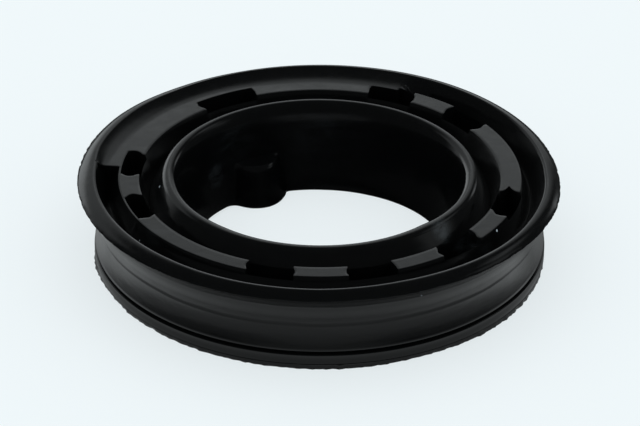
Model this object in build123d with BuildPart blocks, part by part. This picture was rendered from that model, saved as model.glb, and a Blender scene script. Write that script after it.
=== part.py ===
from build123d import *

import os

os.makedirs("parts", exist_ok=True)

# Siphon seal: one moulded rubber ring. All sizes are in millimetres.
# The origin is the centre of the flat underside, and +Z is the ring's axis.
# Angles are counter-clockwise about +Z from +X.

# the ring as a whole
crest_height = 7.6
lip_radius = 20.0

# widths across the top, from the outer lip in to the bore
bevel_width = 1.42
rim_flank_width = 1.18
outer_flank_width = 0.8
land_width = 1.7
inner_flank_width = 0.8
lip_flank_width = 1.1
lip_width = 1.0
bore_bevel_width = 0.25
bore_ledge = 0.08
bore_draft = 1.45

# drops from the crest to each level
lip_edge_drop = 0.58
lip_edge_thickness = 0.1
land_drop = 0.43
groove_drop = 2.3
inner_lip_drop = 0.08
inner_lip_shoulder = 0.22
bore_edge_drop = 1.1
waist_drop = 3.4

# steps in from the outer lip to the wall under it
lip_overhang = 0.1
waist_step = 1.7
wall_foot_step = 1.38
notch_depth = 0.3
notch_gap = 0.28
flange_step = 1.32
flange_height = 1.3

# the outer groove stops short, and the land blends into the rim instead
groove_start_angle = 175.5
groove_arc = 250.5
blend_lead = 0.35

# the pockets sunk into the land
pocket_overcut = 0.1
pocket_depth = 2.6
pocket_span = 14.4
open_pocket_angles = (39.2, 67.2, 255.7, 285.3, 315.4, 343.7)

# two pockets keep a thin ridge on their outer side
outer_ridge = 0.16
ridged_pocket_angles = (173.5, 200.3)

# one pocket is longer than the rest and keeps a wider margin outside
long_pocket_margin = 0.26
long_pocket_span = 18.6
long_pocket_angle = 121.5

# the half-round key that stands on the bore wall
key_angle = 120.0
key_reach = 1.82
key_round = 2.8
key_draft = 13.5
key_height = 3.5
key_depth_in_wall = 2.4
key_top_round = 0.4
key_root_round = 0.4
bore_foot_chamfer = 0.2

crest_radius = lip_radius - bevel_width
outer_groove_radius = crest_radius - rim_flank_width
land_outer_radius = outer_groove_radius - outer_flank_width
land_inner_radius = land_outer_radius - land_width
inner_groove_radius = land_inner_radius - inner_flank_width
lip_outer_radius = inner_groove_radius - lip_flank_width
lip_inner_radius = lip_outer_radius - lip_width
bore_edge_radius = lip_inner_radius - bore_bevel_width
bore_top_radius = bore_edge_radius - bore_ledge
bore_foot_radius = bore_top_radius - bore_draft

lip_edge_height = crest_height - lip_edge_drop
land_height = crest_height - land_drop
groove_height = crest_height - groove_drop
inner_lip_height = crest_height - inner_lip_drop
inner_lip_side = inner_lip_height - inner_lip_shoulder
bore_edge_height = crest_height - bore_edge_drop
waist_height = crest_height - waist_drop

underside_radius = lip_radius - lip_overhang
underside_height = lip_edge_height - lip_edge_thickness
waist_radius = lip_radius - waist_step
wall_foot_radius = lip_radius - wall_foot_step
wall_foot_height = flange_height + notch_gap
flange_radius = lip_radius - flange_step
notch_radius = flange_radius - notch_depth

bore_lean = bore_draft / bore_edge_height
key_axis_radius = bore_foot_radius - key_reach + key_round
pocket_floor_height = land_height - pocket_depth
open_height = crest_height - pocket_floor_height


def pocket_outline(outer_margin, span, angle):
    """A slot bent to the ring, with half-round ends, set in from the land's outer edge by a margin."""
    inner_reach = land_inner_radius - pocket_overcut
    outer_reach = land_outer_radius - outer_margin
    width = outer_reach - inner_reach
    centre_radius = (outer_reach + inner_reach) / 2
    end_angle = Vector(1, 0).get_angle(Vector(centre_radius, width / 2))
    centre_line = Edge.make_circle(
        centre_radius,
        start_angle=angle - span / 2 + end_angle,
        end_angle=angle + span / 2 - end_angle,
    )
    return SlotArc(centre_line, width)


def is_key_root(edge):
    """Whether an edge climbs the bore's wall beside the key."""
    middle = edge @ 0.5
    wall_radius = bore_foot_radius + bore_lean * middle.Z
    on_wall = abs(Vector(middle.X, middle.Y).length - wall_radius) < 0.05
    rise = abs((edge @ 1).Z - (edge @ 0).Z)
    # the wall's own seam also climbs it, but on the +X side
    return on_wall and rise > 0.5 and middle.X < 0


# the key on its own: a half-round post, narrower at the top, with a square root to bury
with BuildPart() as key:
    with BuildSketch():
        with PolarLocations(key_axis_radius, 1, start_angle=key_angle):
            Circle(key_round)
            Rectangle(
                key_depth_in_wall,
                2 * key_round,
                align=(Align.MIN, Align.CENTER),
            )
    extrude(amount=key_height, taper=key_draft)
    nose = key.edges().filter_by(GeomType.CIRCLE).sort_by(Axis.Z)[-1]
    fillet(nose, key_top_round)

with BuildPart() as siphon_seal:
    # the whole section, with the outer groove still filled in
    with BuildSketch(Plane.XZ):
        with BuildLine():
            base = Polyline(
                (bore_foot_radius, 0),
                (flange_radius, 0),
                (flange_radius, flange_height),
                (notch_radius, flange_height),
                (notch_radius, wall_foot_height),
                (wall_foot_radius, wall_foot_height),
                (waist_radius, waist_height),
            )
            # above its waist the wall sweeps out under the lip
            sweep = TangentArc(
                (waist_radius, waist_height),
                (underside_radius, underside_height),
                tangent=(0, 1),
            )
            lip_edge = Line(
                (underside_radius, underside_height),
                (lip_radius, lip_edge_height),
            )
            bevel = TangentArc(
                (crest_radius, crest_height),
                (lip_radius, lip_edge_height),
                tangent=(1, 0),
            )
            blend = Polyline(
                (crest_radius, crest_height),
                (land_outer_radius + blend_lead, land_height),
                (land_inner_radius, land_height),
                (inner_groove_radius, groove_height),
            )
            inner_lip = Polyline(
                (inner_groove_radius, groove_height),
                (lip_outer_radius, inner_lip_side),
                (lip_outer_radius - inner_lip_shoulder, inner_lip_height),
                (lip_inner_radius + inner_lip_shoulder, inner_lip_height),
                (lip_inner_radius, inner_lip_side),
            )
            bore = Polyline(
                (lip_inner_radius, inner_lip_side),
                (bore_edge_radius, bore_edge_height),
                (bore_top_radius, bore_edge_height),
                (bore_foot_radius, 0),
            )
        make_face()
    revolve(axis=Axis.Z)

    # the key runs into the wall on small fillets
    add(key.part)
    fillet(siphon_seal.edges().filter_by(is_key_root), key_root_round)

    # one broken edge follows the bore's mouth and the key's foot
    underside = siphon_seal.faces().sort_by(Axis.Z)[0]
    chamfer(underside.inner_wires()[0].edges(), bore_foot_chamfer)

    # the outer groove
    groove_end = Plane.XZ.rotated((0, 0, groove_start_angle))
    with BuildSketch(groove_end):
        with BuildLine():
            Polyline(
                (land_outer_radius, land_height),
                (outer_groove_radius, groove_height),
                (crest_radius, crest_height),
                (land_outer_radius, crest_height),
                close=True,
            )
        make_face()
    revolve(axis=Axis.Z, revolution_arc=groove_arc, mode=Mode.SUBTRACT)

    # the pockets
    with BuildSketch(Plane.XY.offset(pocket_floor_height)):
        for angle in open_pocket_angles:
            pocket_outline(-pocket_overcut, pocket_span, angle)
        for angle in ridged_pocket_angles:
            pocket_outline(outer_ridge, pocket_span, angle)
        pocket_outline(long_pocket_margin, long_pocket_span, long_pocket_angle)
    extrude(amount=open_height, mode=Mode.SUBTRACT)

siphon_seal.part.label = "siphon_seal"
export_step(siphon_seal.part, "parts/siphon_seal.step")
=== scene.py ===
# %% [markdown]
# # A moulded rubber siphon seal
#
# The seal is one black rubber ring, 40 mm across and 7.6 mm tall. It has an overhanging outer lip, a flat
# land with a ring of pockets between two V grooves, a raised inner lip, and a tapered bore with one key on
# its wall. We load the measured solid first, as a fixed frame, and then model the finished ring over it.

# %% Load the frame
import math

import bmesh
import bpy
from mathutils import Matrix, Vector, noise


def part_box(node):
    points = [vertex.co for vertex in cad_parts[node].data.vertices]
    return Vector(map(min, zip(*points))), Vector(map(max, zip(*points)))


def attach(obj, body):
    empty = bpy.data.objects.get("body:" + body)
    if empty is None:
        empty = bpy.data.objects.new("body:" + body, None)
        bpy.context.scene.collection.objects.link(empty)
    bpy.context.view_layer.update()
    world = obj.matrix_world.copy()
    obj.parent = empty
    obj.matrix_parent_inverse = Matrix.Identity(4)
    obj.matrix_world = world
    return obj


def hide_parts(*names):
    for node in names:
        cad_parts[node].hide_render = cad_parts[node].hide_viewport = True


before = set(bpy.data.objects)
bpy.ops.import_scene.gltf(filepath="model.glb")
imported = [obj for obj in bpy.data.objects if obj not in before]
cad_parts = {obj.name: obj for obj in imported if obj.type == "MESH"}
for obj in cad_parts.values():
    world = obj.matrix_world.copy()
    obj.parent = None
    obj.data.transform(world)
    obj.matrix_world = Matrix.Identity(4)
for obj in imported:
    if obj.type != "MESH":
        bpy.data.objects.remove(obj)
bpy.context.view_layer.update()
print("frame nodes:", sorted(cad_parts))

# %% [markdown]
# ## Sizes
#
# Blender works in metres, and the ring is small, so its sizes are written in millimetres and scaled once.
# The lip's radius and the ring's height come from the frame. The levels across the top are steps in from
# the lip and drops from the crest, and the few at the foot are heights above the table, as a toolmaker
# would give them.

# %% Sizes of the ring
MM = 0.001
high_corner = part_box("siphon_seal")[1]
LIP_RADIUS = high_corner[0] / MM
CREST_HEIGHT = high_corner[2] / MM

# from the lip in to the bore
CREST_RADIUS = LIP_RADIUS - 1.42
OUTER_GROOVE_RADIUS = CREST_RADIUS - 1.18
LAND_OUTER = OUTER_GROOVE_RADIUS - 0.8
LAND_INNER = LAND_OUTER - 1.7
INNER_GROOVE_RADIUS = LAND_INNER - 0.8
INNER_LIP_OUTER = INNER_GROOVE_RADIUS - 1.1
INNER_LIP_INNER = INNER_LIP_OUTER - 1.0
BORE_TOP_RADIUS = INNER_LIP_INNER - 0.33
BORE_FOOT_RADIUS = BORE_TOP_RADIUS - 1.45

# from the crest down
INNER_LIP_HEIGHT = CREST_HEIGHT - 0.08
LAND_HEIGHT = CREST_HEIGHT - 0.43
LIP_EDGE_HEIGHT = CREST_HEIGHT - 0.58
BORE_EDGE_HEIGHT = CREST_HEIGHT - 1.1
GROOVE_HEIGHT = CREST_HEIGHT - 2.3
WAIST_HEIGHT = CREST_HEIGHT - 3.4
PARTING_HEIGHT = WAIST_HEIGHT - 0.25

# the outside, from the waist down
WAIST_RADIUS = LIP_RADIUS - 1.7
WALL_FOOT_RADIUS = LIP_RADIUS - 1.38
WALL_FOOT_HEIGHT = 1.62
FLANGE_RADIUS = LIP_RADIUS - 1.32
FLANGE_HEIGHT = 1.3
NOTCH_RADIUS = FLANGE_RADIUS - 0.3

print("lip radius", round(LIP_RADIUS, 3), "mm, height", round(CREST_HEIGHT, 3), "mm")

# %% [markdown]
# ## The section
#
# Nearly everything about a ring like this is in its section. It could be drawn as a curve, but we write it
# as a list of corners, each with its rounding, so that every level keeps its own row of vertices. Soft
# corners matter on black rubber: its colour says little, and the eye reads the shape from the thin lights
# along the edges.

# %% Turn corners into arcs
ARC_STEPS = 3


def arc(centre, radius, start, end, steps):
    """Points round a centre, from one angle in degrees to another."""
    points = []
    for i in range(steps + 1):
        angle = math.radians(start + (end - start) * i / steps)
        points.append((centre[0] + radius * math.cos(angle), centre[1] + radius * math.sin(angle)))
    return points


def bend(aside, length):
    """Radius, and turn in degrees, of an arc that leaves a line and is aside from it after a length."""
    radius = (aside ** 2 + length ** 2) / (2 * aside)
    return radius, math.degrees(math.asin(length / radius))


def rounded(corners):
    """The outline through corners given as (radius, height, rounding)."""
    points = []
    for i, (r, z, rounding) in enumerate(corners):
        here = Vector((r, z))
        if rounding == 0:
            points.append(here)
            continue
        before = (Vector(corners[i - 1][:2]) - here).normalized()
        after = (Vector(corners[(i + 1) % len(corners)][:2]) - here).normalized()
        half = before.angle(after) / 2
        centre = here + (before + after).normalized() * rounding / math.sin(half)
        start = here + before * rounding / math.tan(half)
        end = here + after * rounding / math.tan(half)
        for step in range(ARC_STEPS + 1):
            chord = (start - centre).lerp(end - centre, step / ARC_STEPS)
            points.append(centre + chord.normalized() * rounding)
    return points


print("a rounded corner gets", ARC_STEPS + 1, "points")

# %% [markdown]
# The wall is hollow like the waist of a pulley, with the fine step of the mould's parting line across it.
# The lip overhangs it, with a thin edge and a domed bevel on top.

# %% The hollow wall
WALL_STEPS = 14
# under the parting line, the hollow starts over the foot, is upright at a height, and runs on a little
FOOT_BAND = 0.1
UPRIGHT_HEIGHT = PARTING_HEIGHT - 0.4
UPRIGHT_RUN = 0.24
PARTING_STEP = [(WAIST_RADIUS - 0.02, PARTING_HEIGHT - 0.06), (WAIST_RADIUS, PARTING_HEIGHT + 0.12)]


def wall_foot():
    """The hollow from the foot of the wall up to the parting line."""
    radius, turn = bend(WALL_FOOT_RADIUS - WAIST_RADIUS, UPRIGHT_HEIGHT - WALL_FOOT_HEIGHT - FOOT_BAND)
    run_on = math.degrees(math.asin(UPRIGHT_RUN / radius))
    hollow = arc((WAIST_RADIUS + radius, UPRIGHT_HEIGHT), radius, 180 + turn, 180 - run_on, WALL_STEPS)
    return hollow + PARTING_STEP


print("the wall is narrowest at", round(WAIST_RADIUS, 2), "mm from the axis")

# %% The lip
LIP_THICKNESS = 0.1
LIP_UNDERCUT = 0.1
BEVEL_STEPS = 7


def wall_sweep():
    """The hollow from the waist out to the lip, as an arc upright at the waist."""
    rise = LIP_EDGE_HEIGHT - LIP_THICKNESS - WAIST_HEIGHT
    radius, turn = bend(LIP_RADIUS - LIP_UNDERCUT - WAIST_RADIUS, rise)
    return arc((WAIST_RADIUS + radius, WAIST_HEIGHT), radius, 180, 180 - turn, WALL_STEPS)[1:]


def lip_bevel():
    """The domed bevel from the lip's edge to just short of the crest, on an arc level at the crest."""
    radius, turn = bend(CREST_HEIGHT - LIP_EDGE_HEIGHT, LIP_RADIUS - CREST_RADIUS)
    return arc((CREST_RADIUS, CREST_HEIGHT - radius), radius, 90 - turn, 90, BEVEL_STEPS)[:-1]


print("the lip overhangs the waist by", round(LIP_RADIUS - WAIST_RADIUS, 2), "mm")

# %% [markdown]
# Inside the crest, the flank of the rim falls to the bottom of a V groove and rises again to the land.
# Where the groove is filled, the same rows stay level until we shape them, so both sections have their
# rows at the same radii and can be welded later.

# %% Reach of the pockets
# an open pocket cuts a little into both grooves, and the others stop short of the outer one
POCKET_OVERCUT = 0.15
POCKET_INNER = LAND_INNER - POCKET_OVERCUT
POCKET_OUTER = LAND_OUTER + POCKET_OVERCUT
RIDGE_INSIDE = LAND_OUTER - 0.16
MARGIN_INSIDE = LAND_OUTER - 0.26
print("open pockets reach from", round(POCKET_INNER, 2), "to", round(POCKET_OUTER, 2), "mm")

# %% The crest and the outer groove
# the crest is rounded from outside it to inside it, and has fallen by the drop where the flank begins
CREST_OUTSIDE = 0.06
CREST_INSIDE = 0.14
CREST_DROP = 0.06
CREST_CURVE = 1.8
BOTTOM_ROUND = 0.06
FLANK_ROW = 0.2
FLANK_SLOPE = (LAND_HEIGHT - GROOVE_HEIGHT) / (OUTER_GROOVE_RADIUS - LAND_OUTER)
RIM_SLOPE = (CREST_HEIGHT - CREST_DROP - GROOVE_HEIGHT) / (CREST_RADIUS - CREST_INSIDE - OUTER_GROOVE_RADIUS)


def rim_rows():
    """Radii of the rows from the crest in to the land, the same ones for both sections."""
    crest = [CREST_RADIUS + over for over in (CREST_OUTSIDE, 0.02, -0.02, -0.06, -0.1, -CREST_INSIDE)]
    flank = [CREST_RADIUS - FLANK_ROW * i for i in range(1, 6)]
    bottom = [OUTER_GROOVE_RADIUS + side * BOTTOM_ROUND for side in (1, 0, -1)]
    land_flank = [OUTER_GROOVE_RADIUS - 0.22, OUTER_GROOVE_RADIUS - 0.4, POCKET_OUTER + 0.1, POCKET_OUTER]
    return crest + flank + bottom + land_flank + [LAND_OUTER]


def groove_profile(radius):
    """Height of the outer groove, from its rounded crest down to the bottom and up to the land."""
    over = radius - CREST_RADIUS
    if over > -CREST_INSIDE - 0.01:
        share = max(CREST_OUTSIDE - over, 0.0) / (CREST_OUTSIDE + CREST_INSIDE)
        return CREST_HEIGHT - CREST_DROP * share ** CREST_CURVE
    if abs(radius - OUTER_GROOVE_RADIUS) < 0.01:
        return GROOVE_HEIGHT + BOTTOM_ROUND
    if radius > OUTER_GROOVE_RADIUS:
        return GROOVE_HEIGHT + (radius - OUTER_GROOVE_RADIUS) * RIM_SLOPE
    return LAND_HEIGHT - (radius - LAND_OUTER) * FLANK_SLOPE


print("the groove has", len(rim_rows()), "rows and is", round(LAND_HEIGHT - GROOVE_HEIGHT, 2), "mm deep")

# %% The inner lip
DOME_RISE = 0.24
DOME_STEPS = 10


def inner_lip_dome():
    """The rounded top of the inner lip, as an arc over its whole width."""
    half_width = (INNER_LIP_OUTER - INNER_LIP_INNER) / 2
    radius, turn = bend(DOME_RISE, half_width)
    centre = (INNER_LIP_INNER + half_width, INNER_LIP_HEIGHT - radius)
    return arc(centre, radius, 90 - turn, 90 + turn, DOME_STEPS)


print("the inner lip's dome rises", DOME_RISE, "mm")

# %% The bore's rows
BORE_FOOT_CHAMFER = 0.2
BORE_LEAN = (BORE_TOP_RADIUS - BORE_FOOT_RADIUS) / BORE_EDGE_HEIGHT
KEY_HEIGHT = 3.5
KEY_TOP_ROUND = 0.4


def bore_rows():
    """Rows down the tapered bore, closer together where the top of the key will stand."""
    over_key = [5.6, 4.7, KEY_HEIGHT + 0.12, KEY_HEIGHT + 0.06]
    turns = [math.radians(turn) for turn in (0, 30, 60, 90)]
    key_top = [KEY_HEIGHT - KEY_TOP_ROUND * (1 - math.cos(turn)) for turn in turns]
    levels = over_key + key_top + [2.6, 2.0, 1.4, 0.8, 0.4]
    rows = [(BORE_FOOT_RADIUS + BORE_LEAN * level, level, 0) for level in levels]
    return rows + [(BORE_FOOT_RADIUS + BORE_LEAN * BORE_FOOT_CHAMFER, BORE_FOOT_CHAMFER, 0.05)]


print("bore rows:", len(bore_rows()), "lean in degrees:", round(math.degrees(math.atan(BORE_LEAN)), 1))

# %% The whole section
FINE_LINE_HEIGHT = 0.45
FINE_LINE_HALF = 0.03
FINE_LINE_DEPTH = 0.05
NOTCH_LOW = FLANGE_HEIGHT + 0.03
NOTCH_HIGH = FLANGE_HEIGHT + 0.1
LAND_ROW = 0.24


def section(grooved):
    """The closed outline of the ring, with the outer groove open or filled."""
    corners = [
        (BORE_FOOT_RADIUS + BORE_FOOT_CHAMFER, 0, 0.02),
        (FLANGE_RADIUS, 0, 0.06),
        (FLANGE_RADIUS, FINE_LINE_HEIGHT - FINE_LINE_HALF, 0),
        (FLANGE_RADIUS - FINE_LINE_DEPTH, FINE_LINE_HEIGHT, 0),
        (FLANGE_RADIUS, FINE_LINE_HEIGHT + FINE_LINE_HALF, 0),
        (FLANGE_RADIUS, FLANGE_HEIGHT, 0.08),
        (NOTCH_RADIUS, NOTCH_LOW, 0),
        (NOTCH_RADIUS, NOTCH_HIGH, 0),
        (WALL_FOOT_RADIUS, WALL_FOOT_HEIGHT, 0.02),
    ]
    corners += [(r, z, 0) for r, z in wall_foot() + wall_sweep() + lip_bevel()]
    corners += [(r, groove_profile(r) if grooved else CREST_HEIGHT, 0) for r in rim_rows()]
    land_rows = [RIDGE_INSIDE, MARGIN_INSIDE] + [MARGIN_INSIDE - LAND_ROW * i for i in range(1, 6)]
    corners += [(r, LAND_HEIGHT, 0) for r in land_rows + [LAND_INNER]]
    corners += [(POCKET_INNER, LAND_HEIGHT - POCKET_OVERCUT * FLANK_SLOPE, 0)]
    corners += [(INNER_GROOVE_RADIUS, GROOVE_HEIGHT, 0)]
    corners += [(r, z, 0) for r, z in inner_lip_dome()]
    corners += [(BORE_TOP_RADIUS, BORE_EDGE_HEIGHT, 0)]
    return rounded(corners + bore_rows())


for grooved in (True, False):
    print("section rows:", len(section(grooved)), "grooved" if grooved else "filled")

# %% [markdown]
# ## Spin the section
#
# A Screw modifier could turn the section into a ring, but its columns would be evenly spaced. We want
# columns exactly at the ends of the pockets, so that the pockets can later be pushed down as whole faces.
# So a plane is merged to one vertex, the vertex is extruded from corner to corner, and the loop is spun in
# short runs. The outer groove stops short of a full turn, so the ring is two spins: one of the grooved
# section and one of the filled.

# %% Pockets round the land
POCKET_SPAN = 14.4
LONG_SPAN = 18.6
# each pocket: angle of its middle, span in degrees, and outer radius
POCKETS = [(angle, POCKET_SPAN, POCKET_OUTER) for angle in (39.2, 67.2, 255.7, 285.3, 315.4, 343.7)]
POCKETS += [(angle, POCKET_SPAN, RIDGE_INSIDE) for angle in (173.5, 200.3)]
POCKETS += [(121.5, LONG_SPAN, MARGIN_INSIDE)]

KEY_ANGLE = 120.0
KEY_HALF_WINDOW = 18
KEY_WINDOW = (KEY_ANGLE - KEY_HALF_WINDOW, KEY_ANGLE + KEY_HALF_WINDOW)


def stops(start, end):
    """Angles at which a spin has to stop: pocket ends and the ends of the key's window."""
    marks = {start, end}
    for centre, span, _ in POCKETS:
        for edge in (centre - span / 2, centre + span / 2):
            marks |= {edge, edge + 360}
    marks |= set(KEY_WINDOW)
    return sorted(mark for mark in marks if start <= mark <= end)


print("pockets:", len(POCKETS))


# %% Draw the section
def deselect():
    bpy.ops.object.select_all(action="DESELECT")


def drawn(name, outline, start):
    """A loop of edges through the outline, standing at an angle in degrees."""
    turn = Matrix.Rotation(math.radians(start), 3, "Z")
    places = [turn @ Vector((r, 0, z)) * MM for r, z in outline]
    deselect()
    bpy.ops.mesh.primitive_plane_add(size=MM, location=(0, 0, 0))
    piece = bpy.context.object
    piece.name = name
    bpy.ops.object.mode_set(mode="EDIT")
    bpy.ops.mesh.select_all(action="SELECT")
    bpy.ops.mesh.merge(type="CENTER")
    bpy.ops.transform.translate(value=places[0])
    for before, after in zip(places, places[1:]):
        bpy.ops.mesh.extrude_region_move(TRANSFORM_OT_translate={"value": after - before})
    # a face over the loop adds the edge that closes it, and then only the edges are kept
    bpy.ops.mesh.select_all(action="SELECT")
    bpy.ops.mesh.edge_face_add()
    bpy.ops.mesh.delete(type="ONLY_FACE")
    bpy.ops.object.mode_set(mode="OBJECT")
    print(name, "has", len(piece.data.vertices), "vertices in its section")
    return piece


# %% Spin both parts
GROOVE_START = 175.5
GROOVE_END = GROOVE_START + 250.5
COLUMN_STEP = 0.8
KEY_COLUMN_STEP = 0.5


def spun(name, grooved, start, end):
    """A part of the ring from one angle to another, open at both ends."""
    piece = drawn(name, section(grooved), start)
    bpy.ops.object.mode_set(mode="EDIT")
    bpy.ops.mesh.select_all(action="SELECT")
    marks = stops(start, end)
    for here, there in zip(marks, marks[1:]):
        by_key = here >= KEY_WINDOW[0] and there <= KEY_WINDOW[1]
        steps = math.ceil((there - here) / (KEY_COLUMN_STEP if by_key else COLUMN_STEP) - 0.001)
        bpy.ops.mesh.spin(steps=steps, angle=math.radians(here - there), center=(0, 0, 0), axis=(0, 0, 1))
    bpy.ops.object.mode_set(mode="OBJECT")
    print(name, "has", len(piece.data.vertices), "vertices")
    return piece


seal = spun("siphon_seal_body", True, GROOVE_START, GROOVE_END)
filled_part = spun("filled_part", False, GROOVE_END - 360, GROOVE_START)

# %% [markdown]
# ## Join the two spins
#
# Joining the parts and merging the doubles welds every row that has the same height in both. Where the
# outer groove stops, the land runs on outwards and climbs to the crest in a hollow. The land is widest at
# the left end of the groove, so the radius where the climb begins goes by the angle.

# %% Join the parts
deselect()
filled_part.select_set(True)
seal.select_set(True)
bpy.context.view_layer.objects.active = seal
bpy.ops.object.join()
print("both parts have", len(seal.data.vertices), "vertices")


# %% Read a vertex's place
def polar(co):
    """Angle in degrees from 0 to 360, radius and height in millimetres."""
    return math.degrees(math.atan2(co.y, co.x)) % 360, math.hypot(co.x, co.y) / MM, co.z / MM


def apart(a, b):
    """Signed difference of two angles in degrees, from -180 to 180."""
    return (a - b + 180) % 360 - 180


def from_table(table, value):
    """Straight-line reading between the (place, amount) pairs of a table."""
    for (low, before), (high, after) in zip(table, table[1:]):
        if low <= value <= high:
            return before + (after - before) * (value - low) / (high - low)
    return table[0][1] if value < table[0][0] else table[-1][1]


print("the first vertex is at", [round(part, 2) for part in polar(seal.data.vertices[0].co)])

# %% The shape of the fill
# the radius where the climb begins, by the angle
LAND_REACH = ((60, 16.1), (100, 16.2), (120, 16.7), (150, 17.0), (168, 17.35), (176, 17.85))
CLIMB_END = CREST_RADIUS - 0.07
CLIMB_DROP = 0.02


def filled_height(angle, radius):
    """Height of the filled land and its climb."""
    if radius > CLIMB_END:
        return CREST_HEIGHT - CLIMB_DROP * max(CREST_RADIUS - radius, 0.0) / (CREST_RADIUS - CLIMB_END)
    start = from_table(LAND_REACH, angle)
    share = max(radius - start, 0.0) / (CLIMB_END - start)
    return LAND_HEIGHT + (CREST_HEIGHT - CLIMB_DROP - LAND_HEIGHT) * share ** 2


print("the climb begins between", LAND_REACH[0][1], "and", LAND_REACH[-1][1], "mm")

# %% Fill the groove's gap
# degrees: the groove ramps up over this at its right end, and the crest eases over this at its left end
RAMP = 6.0
SOFT_END = 1.2
ANGLE_SLACK = 0.005


def fill_share(angle, radius, height):
    """How far a vertex between the land and the crest moves to the fill, from 0 to 1."""
    into_right = GROOVE_END - 360 - angle
    into_left = angle - GROOVE_START
    if into_right < -ANGLE_SLACK and into_left < ANGLE_SLACK:
        return 1.0 if height > CREST_HEIGHT - 0.001 or radius < LAND_OUTER + 0.01 else 0.0
    if -ANGLE_SLACK <= into_right < RAMP:
        eased = 1 - max(into_right, 0.0) / RAMP
        return eased ** 2 * (3 - 2 * eased)
    if 0 <= into_left < SOFT_END and radius > CLIMB_END:
        return 1 - into_left / SOFT_END
    return 0.0


filled = 0
for vertex in seal.data.vertices:
    angle, radius, height = polar(vertex.co)
    if height >= GROOVE_HEIGHT - 0.01 and LAND_OUTER - 0.6 < radius < CREST_RADIUS + 0.08:
        share = fill_share(angle, radius, height)
        vertex.co.z = (height + (filled_height(angle, radius) - height) * share) * MM
        filled += share > 0
print("the fill takes", filled, "vertices")

# %% [markdown]
# At the right end the groove ramps up to the fill, so there the rows meet and weld. At the left end it
# stops dead against a wall, which is one face.

# %% Weld the rows and close the groove's blunt end
bpy.ops.object.mode_set(mode="EDIT")
bpy.ops.mesh.select_all(action="SELECT")
bpy.ops.mesh.remove_doubles(threshold=0.004 * MM)
bpy.ops.mesh.select_all(action="DESELECT")
bpy.ops.mesh.select_mode(type="EDGE")
bpy.ops.mesh.select_non_manifold(
    extend=False,
    use_boundary=True,
    use_wire=False,
    use_multi_face=False,
    use_non_contiguous=False,
    use_verts=False,
)
bpy.ops.mesh.edge_face_add()
bpy.ops.mesh.select_all(action="SELECT")
bpy.ops.mesh.normals_make_consistent(inside=False)
bpy.ops.object.mode_set(mode="OBJECT")
print("welded ring:", len(seal.data.polygons), "faces")
print("the blunt end's face has", max(len(face.vertices) for face in seal.data.polygons), "corners")

# %% [markdown]
# ## Push down the pockets
#
# Nine blind pockets are sunk into the land. Booleans could cut them, but would leave thin slivers round
# each one. Here each pocket is a patch of the land's own faces, picked by their place and extruded
# straight down, which makes the walls, and the floor is flattened with a scale of nought. The land between
# two pockets ends in hollow curves, no two alike, so we slide the vertices near each end round the ring to
# draw its curve.

# %% Extrude each pocket
POCKET_DEPTH = 2.6
POCKET_FLOOR = LAND_HEIGHT - POCKET_DEPTH
GAP_MIDDLE = (GROOVE_START + GROOVE_END - 360) / 2
GAP_HALF = (GROOVE_START - GROOVE_END + 360) / 2


def pocket_reach(angle, outer):
    """Outer radius of a pocket, which keeps the wide margin on the right half of the fill."""
    on_right_half = -GAP_HALF <= apart(angle, GAP_MIDDLE) <= 0
    return min(outer, MARGIN_INSIDE) if on_right_half else outer


for centre, span, outer in POCKETS:
    bpy.ops.object.mode_set(mode="EDIT")
    bpy.ops.mesh.select_mode(type="FACE")
    bpy.ops.mesh.select_all(action="DESELECT")
    bpy.ops.object.mode_set(mode="OBJECT")
    picked = 0
    for face in seal.data.polygons:
        angle, radius, height = polar(face.center)
        on_land = POCKET_INNER < radius < pocket_reach(angle, outer) and height > LAND_HEIGHT - 0.4
        face.select = on_land and abs(apart(angle, centre)) < span / 2
        picked += face.select
    bpy.ops.object.mode_set(mode="EDIT")
    bpy.ops.mesh.extrude_region_move(TRANSFORM_OT_translate={"value": (0, 0, -POCKET_DEPTH * MM)})
    bpy.ops.transform.resize(value=(1, 1, 0), center_override=(0, 0, POCKET_FLOOR * MM))
    print("pocket at", centre, "takes", picked, "faces")
bpy.ops.object.mode_set(mode="OBJECT")

# %% Curve the ends of the pockets
# degrees over which a slide fades out
END_REACH = 4.6
END_RADII = (15.05, 15.3, 15.6, 15.9, 16.15, 16.35)
# for the angle of each end, how many degrees it is off its place at those radii
POCKET_ENDS = {
    32.0: (0.2, -0.4, -0.6, -0.5, 0.1, 0.5),
    46.4: (-0.6, 0.0, 0.5, 0.8, 0.5, 0.3),
    60.0: (-1.0, -1.2, -0.8, -0.5, 0.1, 0.6),
    74.4: (-0.3, -0.2, 0.0, 0.1, 0.0, -0.1),
    112.2: (-1.0, -1.1, -1.3, -1.2, -1.1, -1.0),
    130.8: (-0.5, -0.1, 0.1, 0.0, -0.6, -0.8),
    166.3: (1.1, -0.1, -0.7, -0.9, -0.6, -0.2),
    180.7: (-0.9, 0.0, 0.3, 0.2, -0.4, -1.1),
    193.1: (0.4, -0.5, -1.0, -0.8, -0.1, 0.8),
    207.5: (-1.3, -0.4, -0.3, -0.6, -0.8, -1.0),
    248.5: (-0.5, -0.6, -0.5, 0.0, 0.3, 0.6),
    262.9: (-0.7, -0.4, 0.1, 0.1, 0.0, -0.1),
    278.1: (0.5, 0.0, -0.2, -0.3, -0.1, 0.1),
    292.5: (-0.1, -0.1, 0.0, 0.0, 0.0, -0.1),
    308.2: (0.4, -0.1, -1.0, -1.2, -1.0, -0.9),
    322.6: (1.3, 0.9, 0.6, -0.2, -0.9, -1.0),
    336.5: (2.2, 1.0, -0.3, -0.4, -0.4, -0.2),
    350.9: (-0.7, -0.3, 3.2, 1.2, 0.2, -0.3),
}

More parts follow.
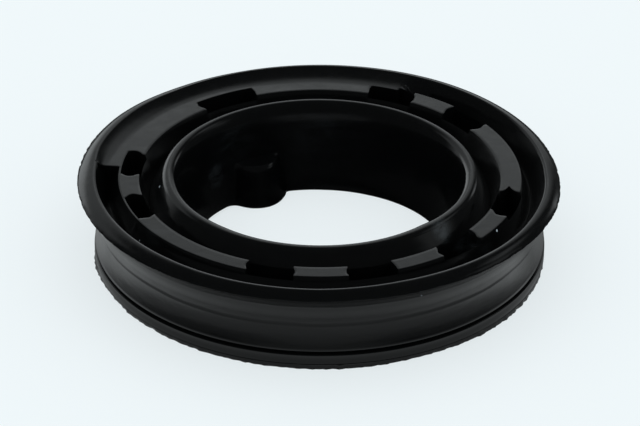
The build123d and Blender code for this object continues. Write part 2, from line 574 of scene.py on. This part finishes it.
for vertex in seal.data.vertices:
    angle, radius, height = polar(vertex.co)
    if not POCKET_INNER - 0.01 < radius < POCKET_OUTER + 0.01 or height < POCKET_FLOOR - 0.1:
        continue
    slide = 0.0
    for end, offsets in POCKET_ENDS.items():
        distance = abs(apart(angle, end))
        if distance < END_REACH:
            slide += from_table(tuple(zip(END_RADII, offsets)), radius) * (1 - distance / END_REACH)
    vertex.co.rotate(Matrix.Rotation(math.radians(slide), 3, "Z"))
print("curved", len(POCKET_ENDS), "pocket ends")

# %% [markdown]
# ## Raise the key
#
# The key is a half-round post on the wall of the bore. It belongs to the same moulding, so rather than
# adding a separate piece we push the wall's own vertices out to it: inside the key's window, each row of
# the bore is redrawn along the key's outline, with small fillets at its roots, and spaced evenly along it.

# %% The key's outline
KEY_ROUND = 2.8
KEY_AXIS_RADIUS = BORE_FOOT_RADIUS - 1.82 + KEY_ROUND
KEY_DRAFT = math.tan(math.radians(13.5))
KEY_ROOT_ROUND = 0.4
HALF_WINDOW = math.radians(KEY_HALF_WINDOW)
NOSE_STEPS = 16
ROOT_STEPS = 8


def key_outline(wall_radius, post, root):
    """Half of the key's outline, from its nose to the edge of the window, in the key's own frame."""
    axis = KEY_AXIS_RADIUS
    ahead = ((wall_radius - root) ** 2 - (post + root) ** 2 + axis ** 2) / (2 * axis)
    across = math.sqrt((wall_radius - root) ** 2 - ahead ** 2)
    # the nose turns back as far as the fillet, and the fillet turns on to the wall
    leave = math.atan2(across, ahead - axis)
    touch = math.atan2(across, ahead)
    points = []
    for step in range(NOSE_STEPS + 1):
        angle = math.pi + (leave - math.pi) * step / NOSE_STEPS
        points.append((axis + post * math.cos(angle), post * math.sin(angle)))
    for step in range(1, ROOT_STEPS + 1):
        angle = leave + math.pi + (touch + math.pi - leave) * step / ROOT_STEPS
        points.append((ahead + root * math.cos(angle), across + root * math.sin(angle)))
    for step in range(1, ROOT_STEPS + 1):
        angle = touch + (HALF_WINDOW - touch) * step / ROOT_STEPS
        points.append((wall_radius * math.cos(angle), wall_radius * math.sin(angle)))
    return points


def along(points, share):
    """The point at a share of a line's length."""
    lengths = [math.dist(a, b) for a, b in zip(points, points[1:])]
    left = share * sum(lengths)
    for (a, b), length in zip(zip(points, points[1:]), lengths):
        if left <= length:
            return Vector(a).lerp(Vector(b), left / length)
        left -= length
    return Vector(points[-1])


reach = BORE_FOOT_RADIUS + KEY_ROUND - KEY_AXIS_RADIUS
print("the key's foot stands", round(reach, 2), "mm out of the wall")


# %% Redraw the bore's rows round the key
def key_inset(height):
    """How far the key's rounded top has drawn in at a height."""
    below = max(KEY_HEIGHT - height, 0.0)
    if below > KEY_TOP_ROUND:
        return 0.0
    return KEY_TOP_ROUND - math.sqrt(KEY_TOP_ROUND ** 2 - (KEY_TOP_ROUND - below) ** 2)


moved = 0
for vertex in seal.data.vertices:
    angle, radius, height = polar(vertex.co)
    off = math.radians(apart(angle, KEY_ANGLE))
    if abs(off) > HALF_WINDOW + 0.001 or height > KEY_HEIGHT + 0.01 or radius > BORE_TOP_RADIUS:
        continue
    # rows that stand off the bore's cone belong to the broken edge of its mouth
    foot_inset = radius - (BORE_FOOT_RADIUS + BORE_LEAN * height)
    inset = max(foot_inset, key_inset(height))
    outline = key_outline(radius, KEY_ROUND - KEY_DRAFT * height - inset, KEY_ROOT_ROUND + inset)
    ahead, across = along(outline, abs(off) / HALF_WINDOW)
    place = Vector((ahead, math.copysign(across, off), height)) * MM
    vertex.co = Matrix.Rotation(math.radians(KEY_ANGLE), 3, "Z") @ place
    moved += 1
print("the key takes", moved, "vertices")

# %% [markdown]
# ## Trim and flash
#
# A moulded ring is trimmed by hand, so its lip, crest and mouth are never true circles, and thin flash is
# left along the lip and round the foot. A Displace modifier could roughen it, but not row by row. So both
# are drawn by moving the vertices of those rows: a slow change from a table, and on top of it a ragged one
# from noise.

# %% How far each rim is off its circle
# each table: angles in degrees, and how far the rubber is drawn in towards the axis there
LIP_TRIM = (
    (0, 0.22), (12, 0.28), (60, 0.25), (84, 0.32), (112, 0.38), (128, 0.27), (140, 0.1), (148, 0.02),
    (345, 0.02), (360, 0.22),
)
LAND_TRIM = (
    (182, 0.0), (206, 0.1), (218, 0.2), (234, 0.28), (270, 0.25), (306, 0.22), (322, 0.1), (346, 0.0),
)
INNER_TRIM = (
    (166, 0.0), (180, -0.02), (190, 0.06), (206, 0.14), (230, 0.32), (314, 0.33), (326, 0.14), (338, 0.02),
)
FOOT_TRIM = (
    (180, 0.05), (187, -0.07), (195, 0.02), (205, 0.2), (213, 0.09), (226, 0.17), (238, 0.06), (258, 0.02),
    (272, -0.06), (285, -0.04), (299, 0.12), (310, -0.02), (325, -0.02), (350, 0.05),
)
# these two give how far the rubber is moved away from the axis instead
CREST_SHIFT = (
    (0, 0.05), (20, 0.0), (132, 0.0), (138, 0.12), (144, 0.2), (168, 0.22), (174, 0.08), (178, 0.0),
    (200, 0.05), (210, 0.09), (220, 0.14), (230, 0.17), (240, 0.27), (250, 0.35), (260, 0.39), (270, 0.43),
    (280, 0.33), (290, 0.25), (300, 0.3), (310, 0.39), (320, 0.44), (330, 0.39), (340, 0.29), (350, 0.2),
    (360, 0.05),
)
MOUTH_TRIM = (
    (0, 0.2), (24, 0.05), (48, -0.1), (66, -0.2), (88, -0.2), (102, -0.1), (110, -0.08), (120, -0.17),
    (130, -0.16), (133, -0.05), (137, 0.22), (150, 0.38), (200, 0.38), (270, 0.1), (360, 0.2),
)
print("lip trimmed by up to", max(amount for _, amount in LIP_TRIM), "mm")

# %% Ragged flash
FLASH_DEPTH = 0.13
FLASH_GRAIN = 26.0
FLASH_WAVE = 0.03
FOOT_FLASH_DEPTH = 0.11
FOOT_FLASH_GRAIN = 40.0
FOOT_FLASH_HEIGHT = 0.08


def ragged(angle, seed, grain):
    """Noise round the ring, from about -1 to 1."""
    turn = math.radians(angle)
    return noise.fractal(Vector((math.cos(turn) * grain, math.sin(turn) * grain, seed)), 0.8, 2.2, 3)


print("flash on the lip is up to about", FLASH_DEPTH, "mm deep")

# %% Trim of the top
# a lip that is drawn in droops a little too
LIP_DROOP = 0.4
# the land is squeezed over this width inside its outer edge
LAND_SQUEEZE = 0.7
# the inner lip moves less towards its outer side
INNER_LIP_EASE = 0.6


def lip_move(angle, share, height):
    """Pull and drop at a share of the way from the crest out to the lip's edge."""
    pull = from_table(LIP_TRIM, angle) * share
    drop = LIP_DROOP * pull
    if height > LIP_EDGE_HEIGHT - 0.01:
        pull -= from_table(CREST_SHIFT, angle) * (1 - share)
    if share > 0.9:
        pull += FLASH_DEPTH * abs(ragged(angle, 3.1, FLASH_GRAIN)) ** 1.5
        drop += FLASH_WAVE * ragged(angle, 7.7, FLASH_GRAIN)
    return pull, drop


def top_move(angle, radius, height):
    """Pull and drop on the lip, the land, the rim's flank and the inner lip, or None elsewhere."""
    on_lip = (radius - CREST_RADIUS) / (LIP_RADIUS - CREST_RADIUS)
    on_land = (radius - (LAND_OUTER - LAND_SQUEEZE)) / LAND_SQUEEZE
    on_flank = (radius - OUTER_GROOVE_RADIUS) / (CREST_RADIUS - OUTER_GROOVE_RADIUS)
    if on_lip > 0 and height > WAIST_HEIGHT:
        return lip_move(angle, on_lip, height)
    if on_land > 0 and radius < POCKET_OUTER + 0.1 and height > POCKET_FLOOR - 0.1:
        return from_table(LAND_TRIM, angle) * min(on_land, 1), 0.0
    if radius > OUTER_GROOVE_RADIUS + 0.2 and height > groove_profile(radius) - 0.1:
        return -from_table(CREST_SHIFT, angle) * on_flank, 0.0
    if radius < INNER_LIP_OUTER + 0.01 and height > BORE_EDGE_HEIGHT + 0.1:
        ease = 1 - INNER_LIP_EASE * max(radius - INNER_LIP_INNER, 0.0)
        return from_table(INNER_TRIM, angle) * ease, 0.0
    return None


print("the crest stands up to", max(amount for _, amount in CREST_SHIFT), "mm outside its circle")

# %% Trim of the foot
# how far the parting line wanders, and the band of the wall that follows it
PARTING_WANDER = 0.09
PARTING_BAND = 0.5
MOUTH_BAND = 0.5


def foot_move(angle, radius, height):
    """Pull and drop on the parting line, the foot and the bore's mouth, or None elsewhere."""
    off_parting = abs(height - PARTING_HEIGHT)
    if off_parting < PARTING_BAND and NOTCH_RADIUS - 0.2 < radius < WAIST_RADIUS + 0.1:
        return 0.0, PARTING_WANDER * ragged(angle, 5.2, 5.0) * (1 - off_parting / PARTING_BAND)
    if height < FOOT_FLASH_HEIGHT and radius > FLANGE_RADIUS - 0.1:
        return from_table(FOOT_TRIM, angle) + FOOT_FLASH_DEPTH * ragged(angle, 12.4, FOOT_FLASH_GRAIN), 0.0
    if radius < BORE_FOOT_RADIUS + 0.5 and height < MOUTH_BAND:
        return -from_table(MOUTH_TRIM, angle) * (1 - height / MOUTH_BAND), 0.0
    return None


trimmed = 0
for vertex in seal.data.vertices:
    angle, radius, height = polar(vertex.co)
    move = top_move(angle, radius, height) or foot_move(angle, radius, height)
    if move is None:
        continue
    place = Vector((radius - move[0], 0, height - move[1]))
    vertex.co = Matrix.Rotation(math.radians(angle), 3, "Z") @ place * MM
    trimmed += 1
print("trimming and flash move", trimmed, "vertices")

# %% [markdown]
# ## Soften the cut edges
#
# The pockets and the land have crisp edges, but not perfect ones. Bevelling by angle alone would also
# catch the foot of the wall, which is sharp over its notch. So the edges are weighted first, a narrow
# bevel catches a thin line of light on each, and weighted normals keep the wide faces flat beside it.

# %% Weight the sharp edges
SHARP = math.radians(38)
shape = bmesh.new()
shape.from_mesh(seal.data)
weight = shape.edges.layers.float.new("bevel_weight_edge")
weighted_edges = 0
for edge in shape.edges:
    angle, radius, height = polar(edge.verts[0].co)
    over_notch = radius > NOTCH_RADIUS and abs(height - WALL_FOOT_HEIGHT) < 0.05
    if edge.is_convex and not over_notch and edge.calc_face_angle() > SHARP:
        edge[weight] = 1.0
        weighted_edges += 1
shape.to_mesh(seal.data)
shape.free()
print("sharp edges:", weighted_edges)

# %% Bevel and weighted normals
bevel = seal.modifiers.new("soft_edges", "BEVEL")
bevel.limit_method = "WEIGHT"
bevel.width = 0.05 * MM
bevel.segments = 2
bevel.use_clamp_overlap = True
deselect()
seal.select_set(True)
bpy.context.view_layer.objects.active = seal
bpy.ops.object.modifier_apply(modifier=bevel.name)
bpy.ops.object.shade_smooth_by_angle(angle=math.radians(50))
normals = seal.modifiers.new("flat_faces", "WEIGHTED_NORMAL")
normals.keep_sharp = True
bpy.ops.object.modifier_apply(modifier=normals.name)
print("ring:", len(seal.data.polygons), "faces")

# %% [markdown]
# ## Black rubber
#
# Moulded rubber is nearly black and has a soft sheen. One even gloss would look like paint. What makes it
# rubber is that the sheen is uneven: the mould's texture changes the roughness from place to place, slow
# waves bend the reflections, and a few paler patches and a little dust lie on top. In the bore the colour
# holds painted light: paler high on the back wall, fading down into the bore, with a small paler spot
# beside the key. All of it is noise on Object coordinates.


# %% Node helpers
def add_node(tree, kind, **settings):
    """A node with its attributes set, and its sockets set by name from the inputs dictionary."""
    made = tree.nodes.new(kind)
    for key, value in settings.pop("inputs", {}).items():
        made.inputs[key].default_value = value
    for key, value in settings.items():
        setattr(made, key, value)
    return made


def combined(tree, operation, first, second):
    """A math node on two sockets or numbers."""
    made = add_node(tree, "ShaderNodeMath", operation=operation)
    for index, value in enumerate((first, second)):
        if isinstance(value, (int, float)):
            made.inputs[index].default_value = value
        else:
            tree.links.new(value, made.inputs[index])
    return made.outputs[0]


def smooth_band(tree, value, low, high):
    """0 below low, 1 above high, with a soft step between."""
    ends = {"From Min": low, "From Max": high}
    step = add_node(tree, "ShaderNodeMapRange", interpolation_type="SMOOTHSTEP", inputs=ends)
    tree.links.new(value, step.inputs["Value"])
    return step.outputs["Result"]


def stretched(tree, place, scale):
    """A place multiplied by a scale along each axis."""
    made = add_node(tree, "ShaderNodeVectorMath", operation="MULTIPLY")
    made.inputs[1].default_value = scale
    tree.links.new(place, made.inputs[0])
    return made.outputs[0]


def noise_at(tree, place, scale, detail):
    """Noise from 0 to 1 at a place, with a scale along each axis."""
    made = add_node(tree, "ShaderNodeTexNoise", inputs={"Scale": 1.0, "Detail": detail, "Roughness": 0.6})
    tree.links.new(stretched(tree, place, scale), made.inputs["Vector"])
    return made.outputs["Fac"]


def halo(tree, place, centre, scale, radius):
    """1 at a centre, falling softly to 0 at a radius."""
    offset = add_node(tree, "ShaderNodeVectorMath", operation="SUBTRACT")
    offset.inputs[1].default_value = Vector(centre) * MM
    tree.links.new(place, offset.inputs[0])
    away = add_node(tree, "ShaderNodeVectorMath", operation="LENGTH")
    tree.links.new(stretched(tree, offset.outputs[0], scale), away.inputs[0])
    return combined(tree, "SUBTRACT", 1.0, smooth_band(tree, away.outputs["Value"], 0.0, radius * MM))


print("node helpers are ready")

# %% Paler patches, painted light and dust
BLACK = 0.0014
TINT = (0.88, 1.0, 1.08)
EVERY_HEIGHT = CREST_HEIGHT + 1
IN_THE_BORE = BORE_EDGE_HEIGHT + 0.2
# pale places: centre and radius in millimetres, how pale they are, and the height they stop at.
# The three that stop at the bore's edge are painted light, paler high on the bore's back wall and fading
# down into it, with a small paler spot beside the key; the three on the top are paler patches
PALE_PATCHES_AND_PAINTED_LIGHT = [
    ((0.0, 12.2, 5.6), 6.5, 0.0035, IN_THE_BORE),
    ((-7.5, 9.0, 5.4), 3.2, 0.005, IN_THE_BORE),
    ((-8.8, 6.6, 3.4), 1.4, 0.018, IN_THE_BORE),
    ((9.9, -8.5, 7.0), 1.4, 0.06, EVERY_HEIGHT),
    ((12.3, -9.4, 5.8), 2.0, 0.03, EVERY_HEIGHT),
    ((-13.0, -9.6, 7.2), 1.6, 0.008, EVERY_HEIGHT),
]
# dust and one hair: centre, scale along each axis, radius, and how pale they are
SPECKS = [
    ((-13.17, -1.42, 6.84), (1, 1, 1), 0.13, 0.5),
    ((14.35, -8.54, 6.94), (1, 1, 1), 0.17, 0.6),
    ((-14.51, -8.97, 6.09), (1, 1, 1), 0.1, 0.2),
    ((8.08, -16.94, 5.75), (1, 1, 0.22), 0.09, 0.16),
]


def colour_with_painted_light(tree, place):
    """The rubber's colour: near black, with streaky paler patches, painted light in the bore, and specks."""
    streaks = smooth_band(tree, noise_at(tree, place, (500, 500, 1400), 5.0), 0.3, 0.75)
    parts = add_node(tree, "ShaderNodeSeparateXYZ")
    tree.links.new(place, parts.inputs[0])
    pale = BLACK
    # in the bore these paint light into the colour: paler high on the wall, darker deeper down
    for centre, radius, amount, top in PALE_PATCHES_AND_PAINTED_LIGHT:
        pale_patch = combined(tree, "MULTIPLY", halo(tree, place, centre, (1, 1, 1), radius), streaks)
        above = smooth_band(tree, parts.outputs["Z"], (top - 0.1) * MM, (top + 0.05) * MM)
        pale_patch = combined(tree, "MULTIPLY", pale_patch, combined(tree, "SUBTRACT", 1.0, above))
        pale = combined(tree, "ADD", combined(tree, "MULTIPLY", pale_patch, amount), pale)
    for centre, scale, radius, amount in SPECKS:
        speck = smooth_band(tree, halo(tree, place, centre, scale, radius), 0.0, 0.5)
        pale = combined(tree, "ADD", combined(tree, "MULTIPLY", speck, amount), pale)
    colour = add_node(tree, "ShaderNodeVectorMath", operation="SCALE")
    colour.inputs[0].default_value = TINT
    tree.links.new(pale, colour.inputs["Scale"])
    return colour.outputs[0]


print("blooms:", len(PALE_PATCHES_AND_PAINTED_LIGHT), "specks:", len(SPECKS))

# %% Gloss and waves
GRAIN_SCALE = (900, 900, 900)
WAVE_SCALE = (170, 170, 700)
SMOOTHEST = 0.11
ROUGHEST = 0.2
WAVE_HEIGHT = 0.03
GRAIN_HEIGHT = 0.02


def uneven_gloss(tree, grain):
    """Roughness that goes by the grain."""
    levels = {"From Min": 0.3, "From Max": 0.7, "To Min": SMOOTHEST, "To Max": ROUGHEST}
    gloss = add_node(tree, "ShaderNodeMapRange", inputs=levels)
    tree.links.new(grain, gloss.inputs["Value"])
    return gloss.outputs["Result"]


def uneven_surface(tree, grain, flow):
    """Fine grain over the slow waves of the moulding."""
    waves = add_node(tree, "ShaderNodeBump", inputs={"Strength": 0.65, "Distance": WAVE_HEIGHT * MM})
    tree.links.new(flow, waves.inputs["Height"])
    bump = add_node(tree, "ShaderNodeBump", inputs={"Strength": 0.2, "Distance": GRAIN_HEIGHT * MM})
    tree.links.new(grain, bump.inputs["Height"])
    tree.links.new(waves.outputs["Normal"], bump.inputs["Normal"])
    return bump.outputs["Normal"]


print("roughness from", SMOOTHEST, "to", ROUGHEST)


# %% The rubber
def make_rubber():
    rubber = bpy.data.materials.new("moulded_rubber")
    rubber.use_nodes = True
    tree = rubber.node_tree
    shader = tree.nodes["Principled BSDF"]
    shader.inputs["IOR"].default_value = 1.45
    place = add_node(tree, "ShaderNodeTexCoord").outputs["Object"]
    grain = noise_at(tree, place, GRAIN_SCALE, 4.0)
    flow = noise_at(tree, place, WAVE_SCALE, 3.0)
    tree.links.new(uneven_gloss(tree, grain), shader.inputs["Roughness"])
    tree.links.new(colour_with_painted_light(tree, place), shader.inputs["Base Color"])
    tree.links.new(uneven_surface(tree, grain, flow), shader.inputs["Normal"])
    return rubber


rubber = make_rubber()
seal.data.materials.clear()
seal.data.materials.append(rubber)
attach(seal, "root")
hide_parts("siphon_seal")
print("the rubber has", len(rubber.node_tree.nodes), "nodes")

# %% [markdown]
# ## The floor
#
# The floor is a wide pale sheet. To the camera it shows mostly as its own colour, with a little of the
# real shading mixed in, so the ring keeps a faint shadow. Black rubber shows little but what it reflects,
# so in its reflections the floor has painted shade and light of its own: a painted shadow inside the ring
# and behind it, painted light brightest close round its foot, and dimmer away from it.

# %% The floor in reflections
# painted shade: how bright the floor inside the ring is in reflections
FLOOR_INSIDE = 0.05
# changes of its brightness, between two distances in metres, by an amount at the front and one at the sides,
# which paint light and shade round the ring's foot
FLOOR_CHANGES = (
    (0.011, 0.017, 0.31, 0.31),
    (0.0193, 0.0217, 0.27, 0.58),
    (0.0222, 0.0245, -0.20, -0.53),
    (0.0245, 0.0330, -0.15, -0.27),
)
# metres to the left or right of the axis, over which the front becomes the sides
SIDEWAYS = (0.006, 0.02)
# the share of it that is lost behind the axis, on the left and on the right, a painted shadow of the ring
FLOOR_BEHIND = (0.32, 0.62)


def floor_painted_light(tree, place):
    """Strength of the floor in reflections, with painted shade and light round the ring."""
    away = add_node(tree, "ShaderNodeVectorMath", operation="LENGTH")
    tree.links.new(place, away.inputs[0])
    parts = add_node(tree, "ShaderNodeSeparateXYZ")
    tree.links.new(place, parts.inputs[0])
    sideways = smooth_band(tree, combined(tree, "ABSOLUTE", parts.outputs["X"], 0.0), *SIDEWAYS)
    level = FLOOR_INSIDE
    for start, end, front, side in FLOOR_CHANGES:
        amount = combined(tree, "ADD", combined(tree, "MULTIPLY", sideways, side - front), front)
        change = combined(tree, "MULTIPLY", smooth_band(tree, away.outputs["Value"], start, end), amount)
        level = combined(tree, "ADD", change, level)
    left, right = FLOOR_BEHIND
    painted_shadow = combined(tree, "MULTIPLY", smooth_band(tree, parts.outputs["X"], -0.01, 0.01), right - left)
    painted_shadow = combined(tree, "ADD", painted_shadow, left)
    behind = smooth_band(tree, parts.outputs["Y"], -0.008, -0.001)
    kept = combined(tree, "SUBTRACT", 1.0, combined(tree, "MULTIPLY", behind, painted_shadow))
    return combined(tree, "MULTIPLY", level, kept)


print("the floor's brightness changes", len(FLOOR_CHANGES), "times")

# %% The pale sheet
REFLECTED_COLOUR = (0.93, 0.985, 1.0, 1)
SHEET_COLOUR = (0.86, 0.90, 0.92, 1)
SEEN_COLOUR = (0.905, 0.965, 0.985, 1)
# the share of plain colour that the camera sees, the rest being real shading
PLAIN_SHARE = 0.7


def mixed(tree, share, first, second):
    """One shader at a share of 0, another at a share of 1."""
    mix = add_node(tree, "ShaderNodeMixShader")
    tree.links.new(share, mix.inputs["Fac"])
    tree.links.new(first, mix.inputs[1])
    tree.links.new(second, mix.inputs[2])
    return mix.outputs[0]


def make_pale_sheet():
    pale = bpy.data.materials.new("pale_sheet")
    pale.use_nodes = True
    tree = pale.node_tree
    tree.nodes.clear()
    out = add_node(tree, "ShaderNodeOutputMaterial")
    lit = add_node(tree, "ShaderNodeBsdfDiffuse", inputs={"Color": SHEET_COLOUR})
    plain = add_node(tree, "ShaderNodeEmission", inputs={"Color": SEEN_COLOUR, "Strength": 1.0})
    # in reflections the floor glows with painted shade and light rather than its real shading
    shaded = add_node(tree, "ShaderNodeEmission", inputs={"Color": REFLECTED_COLOUR})
    place = add_node(tree, "ShaderNodeTexCoord").outputs["Object"]
    tree.links.new(floor_painted_light(tree, place), shaded.inputs["Strength"])
    path = add_node(tree, "ShaderNodeLightPath")
    share = combined(tree, "MULTIPLY", path.outputs["Is Camera Ray"], PLAIN_SHARE)
    seen = mixed(tree, share, lit.outputs[0], plain.outputs[0])
    surface = mixed(tree, path.outputs["Is Glossy Ray"], seen, shaded.outputs[0])
    tree.links.new(surface, out.inputs["Surface"])
    return pale


deselect()
bpy.ops.mesh.primitive_plane_add(size=6.0, location=(0, 0, 0))
floor = bpy.context.object
floor.name = "floor"
floor.data.materials.append(make_pale_sheet())
print("the floor is", round(floor.dimensions.x, 1), "m wide")

# %% [markdown]
# ## The light
#
# The ring stands in a white tent: a bright wall behind it, a dark gap overhead where the tent is open, and
# a dim room on the camera's side. Area lamps could make that room, but on a glossy black ring the room is
# the picture, so the world is drawn as soft bands for the reflections, and the rest of the light stays
# plain and even.

# %% The world
# each panel: left and right bearing, low and high rise, softness sideways and at its ends, strength
PANELS = [
    (-60, 22, -60, 41, 8, 5, 0.39),
    (-8, 14, 24, 29.6, 4, 4, 1.05),
    (-46, -12, -60, 23, 8, 6, 1.1),
    (-14, 14, -60, 20, 6, 6, 0.7),
    (36, 46, 3, 20, 4, 4, 0.7),
    (46, 76, 38, 49, 7, 5, 0.5),
    (76, 100, 20, 38, 6, 5, 0.28),
    (145, 220, -90, 10, 12, 6, 0.15),
    (-220, -145, -90, 10, 12, 6, 0.15),
]
ROOM_LEVEL = 0.048


def between(tree, value, low, high, softness):
    """1 between two values and 0 outside them, with soft steps."""
    past_low = smooth_band(tree, value, low - softness, low + softness)
    past_high = smooth_band(tree, value, high - softness, high + softness)
    return combined(tree, "MULTIPLY", past_low, combined(tree, "SUBTRACT", 1.0, past_high))


def panel_light(tree, bearing, rise, panel):
    """The brightness of one panel in a direction."""
    left, right, low, high, soft_side, soft_end, strength = panel
    across = between(tree, bearing, left, right, soft_side)
    upward = between(tree, rise, low, high, soft_end)
    return combined(tree, "MULTIPLY", combined(tree, "MULTIPLY", across, upward), strength)


def make_world():
    world = bpy.data.worlds.new("white_tent")
    world.use_nodes = True
    tree = world.node_tree
    tree.nodes.clear()
    out = add_node(tree, "ShaderNodeOutputWorld")
    shine = add_node(tree, "ShaderNodeBackground", inputs={"Color": REFLECTED_COLOUR})
    way = add_node(tree, "ShaderNodeSeparateXYZ")
    tree.links.new(add_node(tree, "ShaderNodeTexCoord").outputs["Generated"], way.inputs[0])
    # angles in degrees: bearing is 0 straight behind the ring and grows to the right
    bearing = combined(tree, "ARCTAN2", way.outputs["X"], way.outputs["Y"])
    bearing = combined(tree, "MULTIPLY", bearing, math.degrees(1))
    rise = combined(tree, "ARCSINE", way.outputs["Z"], 0.0)
    rise = combined(tree, "MULTIPLY", rise, math.degrees(1))
    room = 0.0
    for panel in PANELS:
        room = combined(tree, "MAXIMUM", room, panel_light(tree, bearing, rise, panel))
    room = combined(tree, "ADD", room, ROOM_LEVEL)
    glossy = add_node(tree, "ShaderNodeLightPath").outputs["Is Glossy Ray"]
    others = combined(tree, "SUBTRACT", 1.0, glossy)
    strength = combined(tree, "ADD", combined(tree, "MULTIPLY", glossy, room), others)
    tree.links.new(strength, shine.inputs["Strength"])
    tree.links.new(shine.outputs[0], out.inputs["Surface"])
    return world


bpy.context.scene.world = make_world()
print("the tent has", len(PANELS), "panels")

# %% [markdown]
# ## The camera
#
# The seal is best seen from above its front. A long lens from well back draws it almost without
# perspective, looking down at just under 30 degrees, and a fraction of a degree of tilt and roll sets it
# in the frame.

# %% Camera
CAMERA_ELEVATION = math.radians(29.24)
CAMERA_DISTANCE = 333.3 * MM
TILT_DOWN = math.radians(0.598)
ROLL = math.radians(0.28)
AIM = Vector((0.03 * MM, 0, CREST_HEIGHT * MM))

lens = bpy.data.cameras.new("camera")
lens.sensor_width = 36.0
lens.lens = 227.6
lens.clip_start = 0.01
lens.clip_end = 20.0
camera = bpy.data.objects.new("camera", lens)
bpy.context.scene.collection.objects.link(camera)
back = Vector((0, -math.cos(CAMERA_ELEVATION), math.sin(CAMERA_ELEVATION)))
camera.location = AIM + back * CAMERA_DISTANCE
turn = Matrix.Rotation(math.pi / 2 - CAMERA_ELEVATION - TILT_DOWN, 4, "X") @ Matrix.Rotation(ROLL, 4, "Z")
camera.rotation_euler = turn.to_euler()
bpy.context.scene.camera = camera
bpy.context.scene.view_settings.view_transform = "Standard"
print("the camera is", round(CAMERA_DISTANCE, 3), "m away")

# %% The end
print("the scene is built")
